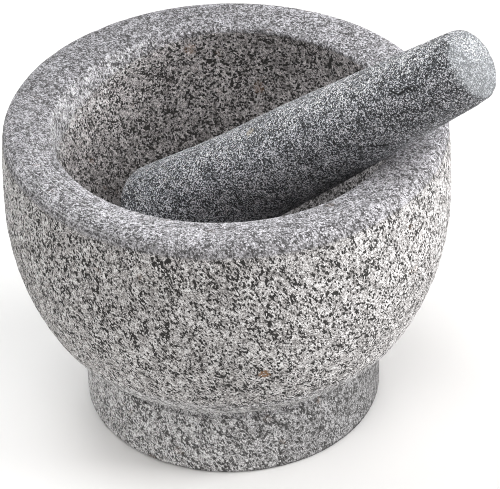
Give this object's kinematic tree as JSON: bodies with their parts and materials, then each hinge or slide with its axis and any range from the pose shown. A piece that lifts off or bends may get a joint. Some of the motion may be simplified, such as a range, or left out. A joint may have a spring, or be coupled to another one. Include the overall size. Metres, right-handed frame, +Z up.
{
  "type": "mortar and pestle",
  "caption": "Turned granite mortar with a thick crowned rim and a round foot, and a loose tapered pestle leaning in it.",
  "frame": {"origin": "centre of the foot's flat underside, on the mortar's turning axis", "axes": "+Z up along the mortar's turning axis; the pestle's handle points towards +X and a little towards -Y"},
  "size_m": [0.1664, 0.155, 0.1657],
  "materials": {
    "mortar_granite": "matte",
    "pestle_granite": "matte"
  },
  "bodies": {
    "mortar": {"mortar": "mortar_granite"},
    "pestle": {"pestle": "pestle_granite"}
  },
  "joints": [
    {"name": "pestle_lift", "type": "slide", "parent": "mortar", "child": "pestle", "axis": [0, 0, 1], "range_m": [0, 0.08]}
  ]
}
